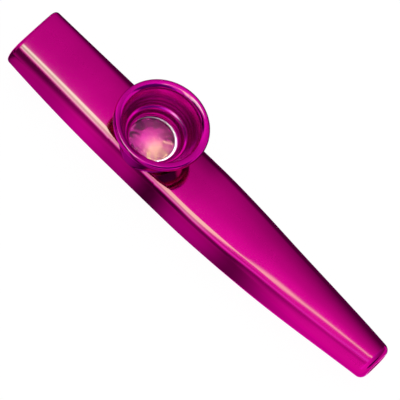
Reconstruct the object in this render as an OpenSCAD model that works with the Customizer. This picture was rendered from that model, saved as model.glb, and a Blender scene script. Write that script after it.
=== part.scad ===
// Metal kazoo. A body of two pressed sheets carries a screwed cup over a thin film.
// The player hums into the wide mouth end at -X, the narrow outlet is at +X, and the cup opens towards +Z.
// The body stands on its flat underside at z = 0, and its length is centred on x = 0.

/* [Body] */
// Length of the body from the mouth end to the outlet end
body_length = 120; // [112:1:130]
// Greatest width of the body, a little before its middle
body_width = 18.4; // [18.2:0.1:20]
// Height of the body where it stands flat
body_height = 12; // [11.4:0.1:13]
// Width of the mouth end
mouth_width = 18.4; // [17.4:0.1:18.6]
// How far the underside of the mouth end is lifted off the table
mouth_rise = 3.1; // [2:0.1:3.4]
// Width of the outlet end
outlet_width = 10.6; // [9.8:0.1:12]
// How far the underside of the outlet end is lifted off the table
outlet_rise = 3.2; // [2.4:0.1:3.6]
// Thickness of the pressed sheet
sheet = 0.8; // [0.6:0.05:0.9]
// Radius of the long corners at the mouth end
mouth_corner = 4; // [3.4:0.1:4.2]
// Radius of the long corners where the body is widest
middle_corner = 3.3; // [3:0.1:3.6]
// Radius of the long corners at the outlet end
outlet_corner = 4.2; // [3.6:0.1:4.4]
// Radius of the inward-rolled lip at the mouth end
mouth_lip = 1; // [0.95:0.05:1.4]
// Radius of the inward-rolled lip at the outlet end
outlet_lip = 1.8; // [1.4:0.1:2]

/* [Turret] */
// Distance from the mouth end to the axis of the cup
cup_from_mouth = 41; // [36:0.1:46]
// Height of the turret collar above the body
collar_rise = 2.6; // [2.5:0.1:3.2]
// Wall of the collar outside its thread
collar_wall = 0.55; // [0.4:0.05:0.6]
// Wall of the collar's tube that passes through the body
collar_tube_wall = 0.45; // [0.35:0.05:0.5]
// Depth of the collar's ledge below the top of the body
ledge_depth = 0.7; // [0.5:0.05:0.9]
// Thickness of the collar's ledge
ledge_thick = 0.7; // [0.5:0.05:1]

/* [Film stack] */
// Radius of the clear window that shows the film
window_radius = 6.25; // [6:0.05:6.4]
// Thickness of the gasket under the film
gasket_thick = 0.3; // [0.2:0.05:0.4]
// Thickness of the film
film_thick = 0.1; // [0.08:0.01:0.15]
// Thickness of the hoop on the film
hoop_thick = 0.4; // [0.3:0.05:0.5]
// Width of the hoop's ring
hoop_width = 0.95; // [0.8:0.05:1]
// How much of the hoop shows inside the window
hoop_show = 0.3; // [0.2:0.05:0.4]
// How far the film and its hoop lie off the cup's axis, towards the mouth end
hoop_offset = 0.35; // [0:0.05:0.4]
// Thickness of the press ring's flange
press_thick = 0.3; // [0.2:0.05:0.4]
// Wall of the press ring's sleeve
sleeve_wall = 0.3; // [0.2:0.05:0.35]
// Height of the press ring's sleeve
sleeve_height = 0.4; // [0.3:0.05:0.5]

/* [Thread] */
// Rise of the cup for one turn
thread_pitch = 1; // [0.9:0.05:1.05]
// Height of the thread's ridge
thread_depth = 0.25; // [0.2:0.01:0.3]
// Turns of ridge on the cup and in the collar
thread_turns = 1.5; // [1.25:0.25:1.5]

/* [Cup] */
// Height from the cup's shoulder to the top of its rim
cup_height = 7.25; // [6.5:0.05:9]
// Outer radius of the rim
rim_radius = 12.4; // [12:0.1:13.5]
// Radius of the rim's round bead
bead_radius = 1.12; // [1:0.02:1.25]
// Radius of the shoulder that sits over the collar
shoulder_radius = 8.9; // [8.8:0.05:9.2]
// Thickness of the cup's floor
floor_thick = 0.65; // [0.5:0.05:0.8]

/* [Fits] */
// Gap between the collar's tube and the hole in the body
braze_gap = 0.05; // [0.03:0.01:0.08]
// Gap between pieces that slide on each other
slip_gap = 0.05; // [0.03:0.01:0.08]
// Radial gap between a thread's crest and the root that faces it
thread_gap = 0.1; // [0.08:0.01:0.12]
// Gap between the cup's shoulder and the top of the collar
shoulder_gap = 0.15; // [0.1:0.05:0.3]
// Gap round the film stack in the collar's pocket
pocket_gap = 0.2; // [0.15:0.05:0.3]

/* [Hidden] */

// Colours as the photograph shows them
magenta = [0.76, 0.01, 0.50];
deep_magenta = [0.62, 0.01, 0.42];
pale_plastic = [0.95, 0.90, 0.95];
clear_film = [0.85, 0.45, 0.75, 0.5];
grey_fibre = [0.30, 0.28, 0.30];

// Round pieces are true circles, so this only sets how fine the preview is
$fn = 96;
// Overrun of every cut past the face that it opens
overrun = 1;

// Body outline, along its length as shares from the mouth end
mouth_x = -body_length / 2;
outlet_x = body_length / 2;
cup_x = mouth_x + cup_from_mouth;
widest_share = 0.48;
mouth_flat_share = 0.30;
outlet_flat_share = 0.68;
// How much of the width lost towards the outlet is gone at each share of the length
taper_shares = [[widest_share, 0], [0.60, 0.12], [0.72, 0.355], [0.84, 0.575], [0.93, 0.78], [1, 1]];
// Slope of the crowned top where it meets the corners: at the mouth, where the body is widest, at the outlet
mouth_crown = 5;
middle_crown = 9;
outlet_crown = 25;
// Share of the height that stays a flat side between the upper and the lower corner, where they are largest
flat_side_share = 0.02;
// The two sheets meet at this turn of the lower corners, counted from straight up
seam_turn = 135;

function smooth(t) = let (s = min(max(t, 0), 1)) s * s * (3 - 2 * s);
function blend(a, b, t) = a + (b - a) * t;
function share_at(x) = (x - mouth_x) / body_length;

// Height of a table's curve at u, with a slope at each knot that its neighbours give
function row_slope(rows, i) =
    let (lo = max(i - 1, 0), hi = min(i + 1, len(rows) - 1))
    (i == 0) ? 0 : (rows[hi][1] - rows[lo][1]) / (rows[hi][0] - rows[lo][0]);
function row_index(rows, u, i = 0) =
    (i >= len(rows) - 2 || u < rows[i + 1][0]) ? i : row_index(rows, u, i + 1);
function curve_at(rows, u) =
    let (i = row_index(rows, u), span = rows[i + 1][0] - rows[i][0], t = (u - rows[i][0]) / span,
         rise = rows[i + 1][1] - rows[i][1], a = row_slope(rows, i) * span - rise,
         b = rise - row_slope(rows, i + 1) * span)
    rows[i][1] + rise * t + t * (1 - t) * ((1 - t) * a + t * b);

function width_at(u) =
    (u < widest_share) ? blend(mouth_width, body_width, smooth(u / widest_share))
                       : body_width - (body_width - outlet_width) * curve_at(taper_shares, u);
function underside_at(u) =
    (u < mouth_flat_share) ? mouth_rise * pow((mouth_flat_share - u) / mouth_flat_share, 2)
                           : outlet_rise * smooth((u - outlet_flat_share) / (1 - outlet_flat_share));
function along(mouth, middle, outlet, u) =
    (u < widest_share) ? blend(mouth, middle, smooth(u / widest_share))
                       : blend(middle, outlet, smooth((u - widest_share) / (1 - widest_share)));
function crown_at(u) = along(mouth_crown, middle_crown, outlet_crown, u);
// Largest corner that the height has room for, beside the crown's drop
function corner_room(u) =
    let (lean = tan(crown_at(u) / 2))
    ((1 - flat_side_share) * (body_height - underside_at(u)) - lean * width_at(u) / 2) / (2 - lean);
function corner_at(u) = min(along(mouth_corner, middle_corner, outlet_corner, u), corner_room(u));

// Point of the body's section at x, inset from the outside, on the corner arc of one side.
// The turn runs from the crown's slope (top) through 90 (side) to 180 (underside).
function half_width(x, inset) = width_at(share_at(x)) / 2 - inset;
function arc_radius(x, inset) = corner_at(share_at(x)) - inset;
function crown_reach(x, inset) =
    half_width(x, inset) - arc_radius(x, inset) + arc_radius(x, inset) * sin(crown_at(share_at(x)));
function crown_drop(x, inset) = crown_reach(x, inset) * tan(crown_at(share_at(x)) / 2);
function upper_centre(x, inset) =
    body_height - inset - crown_drop(x, inset) - arc_radius(x, inset) * cos(crown_at(share_at(x)));
function lower_centre(x, inset) = underside_at(share_at(x)) + inset + arc_radius(x, inset);
function corner_point(x, inset, turn, side, centre) =
    let (r = arc_radius(x, inset))
    [x, side * (half_width(x, inset) - r + r * sin(turn)), centre + r * cos(turn)];
// Point of the crowned top, where the share runs from -1 at one corner to 1 at the other
function crown_point(x, inset, across_share) =
    let (slope = crown_at(share_at(x)), r = crown_reach(x, inset) / sin(slope))
    [x, r * sin(slope * across_share), body_height - inset - r * (1 - cos(slope * across_share))];

// Steps of the section and of the length
corner_steps = 8;
crown_steps = 6;
seam_steps = 4;
lip_steps = 4;
length_steps = 24;

function upper_corner(x, inset, side) =
    let (slope = crown_at(share_at(x)), centre = upper_centre(x, inset))
    [for (i = [0 : corner_steps]) corner_point(x, inset, blend(90, slope, i / corner_steps), side, centre)];
function lower_corner(x, inset, side, first_turn, last_turn) =
    let (centre = lower_centre(x, inset))
    [for (i = [0 : seam_steps])
        corner_point(x, inset, blend(first_turn, last_turn, i / seam_steps), side, centre)];
function turned(list) = [for (i = [len(list) - 1 : -1 : 0]) list[i]];
function crown(x, inset) =
    [for (i = [1 : crown_steps - 1]) crown_point(x, inset, -1 + 2 * i / crown_steps)];

// The three paths: round the top sheet, round the bottom sheet, and round the whole section
function top_path(x, inset) =
    concat(turned(lower_corner(x, inset, -1, 90, seam_turn)), upper_corner(x, inset, -1), crown(x, inset),
           turned(upper_corner(x, inset, 1)), lower_corner(x, inset, 1, 90, seam_turn));
function bottom_path(x, inset) =
    concat(lower_corner(x, inset, 1, seam_turn, 180), turned(lower_corner(x, inset, -1, seam_turn, 180)));

// Places along the body. Each is [x outside, inset outside, x inside, inset inside].
function lip_place(end_x, inward, lip, turn) =
    [end_x + inward * lip * (1 - sin(turn)), lip * (1 - cos(turn)),
     end_x + inward * (lip - (lip - sheet) * sin(turn)), lip - (lip - sheet) * cos(turn)];
places = concat(
    [for (i = [0 : lip_steps]) lip_place(mouth_x, 1, mouth_lip, blend(90, 0, i / lip_steps))],
    [for (i = [1 : length_steps - 1])
        let (x = blend(mouth_x + mouth_lip, outlet_x - outlet_lip, i / length_steps)) [x, 0, x, sheet]],
    [for (i = [0 : lip_steps]) lip_place(outlet_x, -1, outlet_lip, blend(0, 90, i / lip_steps))]);

// Faces of a skin: rings of the same number of points, joined one to the next, with both ends closed.
// Each ring runs along the outside and back along the inside.
function skin_faces(rings, half) =
    let (count = 2 * half)
    concat(
        [for (i = [0 : rings - 2], j = [0 : count - 1])
            let (k = (j + 1) % count) [i * count + j, i * count + k, (i + 1) * count + k]],
        [for (i = [0 : rings - 2], j = [0 : count - 1])
            let (k = (j + 1) % count) [i * count + j, (i + 1) * count + k, (i + 1) * count + j]],
        [for (j = [0 : half - 2]) [j, count - 2 - j, j + 1]],
        [for (j = [0 : half - 2]) [j, count - 1 - j, count - 2 - j]],
        [for (j = [0 : half - 2])
            let (b = (rings - 1) * count) [b + j, b + j + 1, b + count - 2 - j]],
        [for (j = [0 : half - 2])
            let (b = (rings - 1) * count) [b + j, b + count - 2 - j, b + count - 1 - j]]);

module top_sheet() {
    rings = [for (p = places) concat(top_path(p[0], p[1]), turned(top_path(p[2], p[3])))];
    polyhedron(points = [for (ring = rings, point = ring) point],
               faces = skin_faces(len(rings), len(rings[0]) / 2));
}

module bottom_sheet() {
    rings = [for (p = places) concat(bottom_path(p[0], p[1]), turned(bottom_path(p[2], p[3])))];
    polyhedron(points = [for (ring = rings, point = ring) point],
               faces = skin_faces(len(rings), len(rings[0]) / 2));
}

// Solid that fills the outside of the body round the collar, which shapes the collar's saddle
module body_block(reach) {
    near = [for (p = places) if (abs(p[0] - cup_x) < reach) p[0]];
    rings = [for (x = near) concat(top_path(x, 0), bottom_path(x, 0))];
    count = len(rings[0]);
    polyhedron(points = [for (ring = rings, point = ring) point],
               faces = concat(
                   [for (i = [0 : len(rings) - 2], j = [0 : count - 1])
                       let (k = (j + 1) % count) [i * count + j, i * count + k, (i + 1) * count + k]],
                   [for (i = [0 : len(rings) - 2], j = [0 : count - 1])
                       let (k = (j + 1) % count) [i * count + j, (i + 1) * count + k, (i + 1) * count + j]],
                   [[for (j = [count - 1 : -1 : 0]) j]],
                   [[for (j = [0 : count - 1]) (len(rings) - 1) * count + j]]));
}

// Thread's ridge: steps in a turn, half its width at the root and at the crest as shares of the pitch,
// the part of a turn in which each end runs out, and the height that is left at the very end
ridge_steps = 36;
ridge_root_share = 0.24;
ridge_crest_share = 0.10;
run_out_share = 0.12;
ridge_end_share = 0.1;

// Radii of the turret, outwards from the window
hoop_inner = window_radius - hoop_show;
hoop_outer = hoop_inner + hoop_width;
pocket_radius = hoop_outer + hoop_offset + pocket_gap;
cup_hole = window_radius + sleeve_wall + slip_gap;
cup_root = pocket_radius + thread_gap + slip_gap;
cup_crest = cup_root + thread_depth;
collar_root = cup_crest + thread_gap;
collar_outer = collar_root + collar_wall;
tube_outer = pocket_radius + collar_tube_wall;

// Levels of the turret, upwards from the ledge
ledge_top = body_height - ledge_depth;
ledge_foot = ledge_top - ledge_thick;
gasket_top = ledge_top + gasket_thick;
film_top = gasket_top + film_thick;
hoop_top = film_top + hoop_thick;
press_top = hoop_top + press_thick;
cup_foot = press_top + slip_gap;
step_top = cup_foot - 2 * slip_gap;
floor_top = cup_foot + floor_thick;
collar_top = body_height + collar_rise;
thread_foot = collar_top - (thread_turns + ridge_root_share) * thread_pitch;
shoulder_z = collar_top + shoulder_gap;
rim_top = shoulder_z + cup_height;
bead_z = rim_top - bead_radius;
bead_centre = rim_radius - bead_radius;
throat_radius = bead_centre - bead_radius;

// Ridge of a thread: four corners carried round a helix, with both ends run out to nothing.
// It stands outwards on the cup (out = 1) and inwards in the collar (out = -1).
module thread_ridge(root, foot, out, start_turn) {
    last = thread_turns * ridge_steps;
    run_out = run_out_share * ridge_steps;
    sink = thread_depth / 2;
    points = [for (i = [0 : last])
        let (turn = start_turn + 360 * i / ridge_steps, z = foot + thread_pitch * i / ridge_steps,
             grown = max(min(i, last - i, run_out) / run_out, ridge_end_share),
             low = root - out * sink, high = root + out * thread_depth * grown,
             wide = ridge_root_share * thread_pitch, thin = ridge_crest_share * thread_pitch)
        each [[low * cos(turn), low * sin(turn), z - wide], [high * cos(turn), high * sin(turn), z - thin],
              [high * cos(turn), high * sin(turn), z + thin], [low * cos(turn), low * sin(turn), z + wide]]];
    around = [for (i = [0 : last - 1], j = [0 : 3]) let (k = (j + 1) % 4)
        each [[4 * i + j, 4 * i + 4 + k, 4 * i + k], [4 * i + j, 4 * i + 4 + j, 4 * i + 4 + k]]];
    first_end = [[0, 1, 2], [0, 2, 3]];
    last_end = [[4 * last, 4 * last + 2, 4 * last + 1], [4 * last, 4 * last + 3, 4 * last + 2]];
    faces = concat(around, first_end, last_end);
    polyhedron(points = points, faces = (out < 0) ? faces : [for (f = faces) turned(f)]);
}

module upper_shell() {
    color(magenta) difference() {
        top_sheet();
        translate([cup_x, 0, body_height / 2]) cylinder(r = tube_outer + braze_gap, h = body_height);
    }
}

module lower_shell() {
    color(deep_magenta) bottom_sheet();
}

// Turned collar with a pocket and ledge for the film, a thread, and a saddle foot on the body
module turret_collar() {
    foot_z = body_height / 2;
    color(deep_magenta) union() {
        difference() {
            translate([cup_x, 0, foot_z]) cylinder(r = collar_outer, h = collar_top - foot_z);
            body_block(2 * collar_outer);
            translate([cup_x, 0, foot_z - overrun])
                cylinder(r = tube_outer - slip_gap, h = collar_top - foot_z + 2 * overrun);
            translate([cup_x, 0, step_top]) cylinder(r = collar_root, h = collar_top - step_top + overrun);
        }
        translate([cup_x, 0, 0]) rotate_extrude() polygon([
            [window_radius, ledge_foot], [tube_outer, ledge_foot], [tube_outer, step_top],
            [pocket_radius, step_top], [pocket_radius, ledge_top], [window_radius, ledge_top]]);
        translate([cup_x, 0, 0]) thread_ridge(collar_root, thread_foot, -1, 180);
    }
}

// Soft washer on the ledge
module seat_gasket() {
    color(grey_fibre) translate([cup_x, 0, ledge_top]) difference() {
        cylinder(r = pocket_radius - slip_gap, h = gasket_thick);
        translate([0, 0, -overrun]) cylinder(r = window_radius, h = gasket_thick + 2 * overrun);
    }
}

module membrane_film() {
    color(clear_film) translate([cup_x - hoop_offset, 0, gasket_top])
        cylinder(r = hoop_outer, h = film_thick);
}

module membrane_hoop() {
    color(pale_plastic) translate([cup_x - hoop_offset, 0, film_top]) difference() {
        cylinder(r = hoop_outer, h = hoop_thick);
        translate([0, 0, -overrun]) cylinder(r = hoop_inner, h = hoop_thick + 2 * overrun);
    }
}

// Flanged ring that slips in the cup's foot and presses the hoop without turning it
module press_ring() {
    color(magenta) translate([cup_x, 0, hoop_top]) difference() {
        union() {
            cylinder(r = pocket_radius - 2 * slip_gap, h = press_thick);
            cylinder(r = window_radius + sleeve_wall, h = press_thick + sleeve_height);
        }
        translate([0, 0, -overrun])
            cylinder(r = window_radius, h = press_thick + sleeve_height + 2 * overrun);
    }
}

// Outside of the bowl from the shoulder to the rim's bead, as [share of height, share of radius]
bowl_outside_shares = [[0, 0], [0.11, 0.07], [0.29, 0.23], [0.49, 0.43], [0.68, 0.64], [0.80, 0.765]];
// Inside of the bowl from its hole to the rim's bead, with a rounded step and two fine turned rings
bowl_inside_shares = [[0, 0], [0.02, 0.10], [0.06, 0.155], [0.11, 0.17], [0.165, 0.175], [0.205, 0.195],
    [0.235, 0.245], [0.25, 0.32], [0.26, 0.38], [0.285, 0.42], [0.33, 0.45], [0.395, 0.49], [0.405, 0.53],
    [0.42, 0.535], [0.43, 0.52], [0.50, 0.58], [0.58, 0.64], [0.59, 0.68], [0.605, 0.685], [0.615, 0.67],
    [0.70, 0.75], [0.80, 0.84], [0.88, 0.92], [0.95, 0.98]];
bead_from = -118;
bead_to = 184;
bead_steps = 26;

module cup() {
    outside = [for (s = bowl_outside_shares)
        [blend(shoulder_radius, bead_centre, s[1]), blend(shoulder_z, bead_z, s[0])]];
    bead = [for (i = [0 : bead_steps])
        let (turn = blend(bead_from, bead_to, i / bead_steps))
        [bead_centre + bead_radius * cos(turn), bead_z + bead_radius * sin(turn)]];
    inside = [for (s = bowl_inside_shares)
        [blend(cup_hole, throat_radius, s[1]), blend(floor_top, bead_z, s[0])]];
    foot = [[cup_hole, cup_foot], [cup_root - thread_depth, cup_foot], [cup_root, cup_foot + thread_depth],
            [cup_root, shoulder_z]];
    color(magenta) translate([cup_x, 0, 0]) union() {
        rotate_extrude() polygon(concat(foot, outside, bead, turned(inside)));
        thread_ridge(cup_root, thread_foot, 1, 0);
    }
}

upper_shell();
lower_shell();
turret_collar();
seat_gasket();
membrane_film();
membrane_hoop();
press_ring();
cup();
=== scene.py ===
# %% [markdown]
# # A magenta metal kazoo
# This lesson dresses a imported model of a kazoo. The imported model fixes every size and
# place, and each cell below makes one finished piece that takes the place of a plain one.
# Lengths in the code are in millimetres, and become metres where a mesh is filled.

# %% Load the frame
import math

import bpy
import numpy as np
from mathutils import Matrix, Vector


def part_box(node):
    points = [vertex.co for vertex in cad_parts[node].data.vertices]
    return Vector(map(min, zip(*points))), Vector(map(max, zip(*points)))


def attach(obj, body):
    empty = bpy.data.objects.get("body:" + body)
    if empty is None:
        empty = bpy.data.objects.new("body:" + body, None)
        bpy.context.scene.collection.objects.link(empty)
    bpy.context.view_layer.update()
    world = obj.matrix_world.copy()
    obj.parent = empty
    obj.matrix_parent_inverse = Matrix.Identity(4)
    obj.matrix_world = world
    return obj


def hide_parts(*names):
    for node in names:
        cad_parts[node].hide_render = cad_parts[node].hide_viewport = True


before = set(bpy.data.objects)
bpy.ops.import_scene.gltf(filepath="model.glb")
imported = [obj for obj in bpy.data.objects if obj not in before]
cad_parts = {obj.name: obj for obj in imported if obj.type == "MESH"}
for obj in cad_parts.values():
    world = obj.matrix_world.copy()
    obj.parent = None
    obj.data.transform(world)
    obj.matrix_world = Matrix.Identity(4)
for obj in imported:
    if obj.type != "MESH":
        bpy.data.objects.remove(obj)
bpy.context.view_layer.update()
print("packed nodes:", sorted(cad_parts))

# %% [markdown]
# ## Sizes
# The frame gives the sizes that matter: how long the body is, how high it stands, where
# the cup's axis is and how wide its rim is. The other sizes are those of the pressed and
# turned parts, so each has a name here, and everything later is worked out from them.

# %% Sizes taken from the frame
MM = 0.001


def box_mm(node):
    """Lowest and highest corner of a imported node, in millimetres."""
    low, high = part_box(node)
    return np.array(low) / MM, np.array(high) / MM


shell_low, shell_high = box_mm("upper_shell")
cup_low, cup_high = box_mm("cup")
collar_low, collar_high = box_mm("turret_collar")

mouth_x, outlet_x = shell_low[0], shell_high[0]
body_length = outlet_x - mouth_x
body_width = shell_high[1] - shell_low[1]
body_top = shell_high[2]
cup_x = (cup_low[0] + cup_high[0]) / 2
rim_radius = (cup_high[1] - cup_low[1]) / 2
rim_top, cup_foot = cup_high[2], cup_low[2]
collar_top = collar_high[2]
collar_outer = (collar_high[1] - collar_low[1]) / 2
ledge_foot = collar_low[2]
print("body", round(body_length, 2), "x", round(body_width, 2), "x", round(body_top, 2))
print("cup axis at", round(cup_x, 2), "rim radius", round(rim_radius, 2), "top", round(rim_top, 2))

# %% Sizes of the pressed body
mouth_width = 18.4
outlet_width = 10.6
mouth_rise = 3.1
outlet_rise = 3.2
sheet = 0.8
mouth_corner, middle_corner, outlet_corner = 4.0, 3.3, 4.2
mouth_lip = 1.0
outlet_lip = 1.8
mouth_crown, middle_crown, outlet_crown = math.radians(5), math.radians(9), math.radians(25)
flat_side_share = 0.02
seam_turn = math.radians(135)
widest_share = 0.48
mouth_flat_share = 0.30
outlet_flat_share = 0.68
taper_shares = np.array([[widest_share, 0], [0.60, 0.12], [0.72, 0.355], [0.84, 0.575], [0.93, 0.78],
                         [1, 1]])
print("mouth end", mouth_width, "mm wide, outlet", outlet_width, "mm wide, sheet", sheet, "mm")

# %% Sizes of the turned parts
window_radius = 6.25
pocket_radius = 7.45
tube_outer = 7.9
braze_gap = 0.05
hole_radius = tube_outer + braze_gap
collar_root = 7.95
cup_root = 7.6
cup_hole = 6.6
step_top = cup_foot - 0.1
ledge_top = body_top - 0.7
gasket_top = ledge_top + 0.3
film_top = gasket_top + 0.1
hoop_top = film_top + 0.4
press_top = hoop_top + 0.3
floor_top = cup_foot + 0.65
shoulder_z = collar_top + 0.15
shoulder_radius = 8.9
bead_radius = 1.12
bead_centre = rim_radius - bead_radius
bead_z = rim_top - bead_radius
throat_radius = bead_centre - bead_radius
hoop_offset = 0.35
hoop_inner, hoop_outer = 5.95, 6.9
thread_pitch, thread_depth, thread_turns = 1.0, 0.25, 1.5
print("ledge at", round(ledge_top, 2), "film at", round(film_top, 2), "cup's foot at", round(cup_foot, 2))

# %% [markdown]
# ## From arrays to a piece
# Every piece here is a surface worked out by numpy. A grid of points becomes a grid of
# four-sided faces, and the functions below are all that is needed to put it in Blender.
# Writing whole arrays with foreach_set is far quicker than adding one vertex at
# a time, and the volume worked out for each piece turns its faces outwards when it comes out below zero.

# %% Put points and faces into a mesh
def volume_of(points, faces):
    """Volume inside closed faces: the sum of the tetrahedra from the origin to each triangle."""
    triangles = np.concatenate([faces[:, [0, 1, 2]], faces[:, [0, 2, 3]]])
    a, b, c = (points[triangles[:, i]] for i in range(3))
    return float(np.einsum("ij,ij->i", a, np.cross(b, c)).sum() / 6)


eased_over = math.radians(50)


def make_piece(name, points, faces, body, slot, stands_for, bevel=0.0, sharp=40):
    """A closed mesh from points in millimetres and four-sided faces, riding on a body in a node's place."""
    volume = volume_of(points, faces)
    if volume < 0:
        faces = faces[:, ::-1]
    mesh = bpy.data.meshes.new(name)
    mesh.vertices.add(len(points))
    mesh.vertices.foreach_set("co", (points * MM).astype(np.float32).ravel())
    mesh.loops.add(faces.size)
    mesh.loops.foreach_set("vertex_index", faces.astype(np.int32).ravel())
    mesh.polygons.add(len(faces))
    mesh.polygons.foreach_set("loop_start", np.arange(0, faces.size, 4, dtype=np.int32))
    mesh.update(calc_edges=True)
    mesh.validate()
    mesh.shade_smooth()
    mesh.set_sharp_from_angle(angle=math.radians(sharp))
    piece = bpy.data.objects.new(name, mesh)
    bpy.context.scene.collection.objects.link(piece)
    if bevel:
        edge = piece.modifiers.new("eased edges", "BEVEL")
        edge.width, edge.segments = bevel * MM, 2
        edge.limit_method, edge.angle_limit = "ANGLE", eased_over
    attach(piece, body)
    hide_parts(*stands_for)
    print(name, len(points), "points", len(faces), "faces", round(abs(volume), 1), "mm3")
    return piece


def grid_faces(rows, columns, wrap_rows=False, wrap_columns=False):
    """Four-sided faces between neighbouring points of a grid, numbered row by row."""
    i = np.arange(rows if wrap_rows else rows - 1)[:, None]
    j = np.arange(columns if wrap_columns else columns - 1)[None, :]
    i2, j2 = (i + 1) % rows, (j + 1) % columns
    corners = [i * columns + j, i * columns + j2, i2 * columns + j2, i2 * columns + j]
    return np.stack([c.ravel() for c in np.broadcast_arrays(*corners)], axis=1)


# %% [markdown]
# ## The body's section
# A real kazoo body is two strips of thin sheet, pressed in a die and joined along the
# lower corners. Its section is a rounded box whose width, corners and top change along
# the length. A loft between a few drawn sections would do, but here each measure is a
# smooth function of the place along the body, so any number of sections can be asked for.

# %% Measures along the body
def smooth(t):
    """Rises from 0 to 1 with no slope at either end: three times t squared less twice t cubed."""
    t = np.clip(t, 0, 1)
    return t * t * (3 - 2 * t)


def blend(a, b, t):
    """The value a share t of the way from a to b."""
    return a + (b - a) * t


def curve_at(rows, u):
    """A smooth curve through a table's points: cubics whose end slopes follow the neighbouring points."""
    knots, values = rows[:, 0], rows[:, 1]
    slopes = np.zeros(len(knots))
    slopes[1:-1] = (values[2:] - values[:-2]) / (knots[2:] - knots[:-2])
    slopes[-1] = (values[-1] - values[-2]) / (knots[-1] - knots[-2])
    i = np.clip(np.searchsorted(knots, u, side="right") - 1, 0, len(knots) - 2)
    span, rise = knots[i + 1] - knots[i], values[i + 1] - values[i]
    t = (u - knots[i]) / span
    a, b = slopes[i] * span - rise, rise - slopes[i + 1] * span
    return values[i] + rise * t + t * (1 - t) * ((1 - t) * a + t * b)


def share_at(x):
    """Place along the body as a share: 0 at the mouth end, 1 at the outlet."""
    return (x - mouth_x) / body_length


def width_at(u):
    """Width: it swells smoothly to the widest place, then narrows by the taper's table."""
    swell = blend(mouth_width, body_width, smooth(u / widest_share))
    lost = curve_at(taper_shares, np.maximum(u, widest_share))
    return np.where(u < widest_share, swell, body_width - (body_width - outlet_width) * lost)


def underside_at(u):
    """Height of the underside: flat in the middle, a square law at the mouth, eased up at the outlet."""
    mouth = mouth_rise * (np.maximum(mouth_flat_share - u, 0) / mouth_flat_share) ** 2
    return mouth + outlet_rise * smooth((u - outlet_flat_share) / (1 - outlet_flat_share))


def along(mouth, middle, outlet, u):
    """A value that eases from the mouth's to the widest place's, and on to the outlet's."""
    late = blend(middle, outlet, smooth((u - widest_share) / (1 - widest_share)))
    return np.where(u < widest_share, blend(mouth, middle, smooth(u / widest_share)), late)


def corner_at(u):
    """Corner radius, held to what the height has room for beside the crown's drop."""
    lean = np.tan(along(mouth_crown, middle_crown, outlet_crown, u) / 2)
    height = (1 - flat_side_share) * (body_top - underside_at(u))
    room = (height - lean * width_at(u) / 2) / (2 - lean)
    return np.minimum(along(mouth_corner, middle_corner, outlet_corner, u), room)


def section_measures(x, inset):
    """Half width, corner radius, crown slope, crown reach, and the heights of both corners' centres."""
    u = share_at(x)
    half = width_at(u) / 2 - inset
    radius = corner_at(u) - inset
    slope = along(mouth_crown, middle_crown, outlet_crown, u)
    reach = half - radius + radius * np.sin(slope)
    drop = reach * np.tan(slope / 2)
    upper = body_top - inset - drop - radius * np.cos(slope)
    lower = underside_at(u) + inset + radius
    return half, radius, slope, reach, upper, lower


def top_height(x, y, inset=0.0):
    """Height of the top sheet: the crown's arc inside its reach, and the corner's arc outside it."""
    half, radius, slope, reach, upper, _ = section_measures(x, inset)
    crown_radius = reach / np.sin(slope)
    away = np.abs(y)
    crown = body_top - inset - crown_radius + np.sqrt(np.maximum(crown_radius ** 2 - away ** 2, 0))
    corner = upper + np.sqrt(np.maximum(radius ** 2 - np.maximum(away - half + radius, 0) ** 2, 0))
    return np.where(away <= reach, crown, corner)


# %% [markdown]
# ## The top sheet
# The sheet is one grid: along the body in one direction, and round the section in the
# other, first on the outside and then back on the inside. The ends roll inwards to make
# lips that are kind to the mouth. The round hole for the collar is a square of missing
# faces, as large as the circle, whose edge is pulled out to it, and the pull fades away
# around it. That keeps every face four-sided, which a boolean cut would not.

# %% Places along the body and round the section
square_share = 0.886
hole_half = hole_radius * square_share
hole_turn = math.radians(23)
fade_turn = math.radians(67)
fade_share = 0.27
lip_turns = np.linspace(math.pi / 2, 0, 9)
hem_turns = np.radians([80, 65, 45, 25])


def lip_places(end_x, inward, lip):
    """Rolled lip: a half circle round the sheet's edge, then a quarter circle from the end face to the plain
    body."""
    half, inner_lip = sheet / 2, lip - sheet
    hem_inset = lip + half * np.sin(hem_turns)
    hem = np.stack([end_x + inward * half * (1 - np.cos(hem_turns)), hem_inset,
                    end_x + inward * half * (1 + np.cos(hem_turns)), hem_inset], axis=1)
    roll = np.stack([end_x + inward * lip * (1 - np.sin(lip_turns)), lip * (1 - np.cos(lip_turns)),
                     end_x + inward * (lip - inner_lip * np.sin(lip_turns)),
                     lip - inner_lip * np.cos(lip_turns)], axis=1)
    return np.concatenate([hem, roll])


def body_places():
    """Rows along the body. Each is [x outside, inset outside, x inside, inset inside]."""
    fade = hole_half * (1 + fade_share)
    edges = [mouth_x + mouth_lip, cup_x - fade, cup_x - hole_half, cup_x + hole_half, cup_x + fade,
             outlet_x - outlet_lip]
    counts = [36, 6, 26, 6, 96]
    runs = [np.linspace(a, b, n, endpoint=False) for a, b, n in zip(edges[:-1], edges[1:], counts)]
    x = np.concatenate(runs)[1:]
    plain = np.stack([x, np.zeros_like(x), x, np.full_like(x, sheet)], axis=1)
    return np.concatenate([lip_places(mouth_x, 1, mouth_lip), plain,
                           lip_places(outlet_x, -1, outlet_lip)[::-1]])


seam_stations, side_stations, crown_stations = 7, 6, 26
outer_corner_stations, inner_corner_stations = 20, 10


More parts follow.
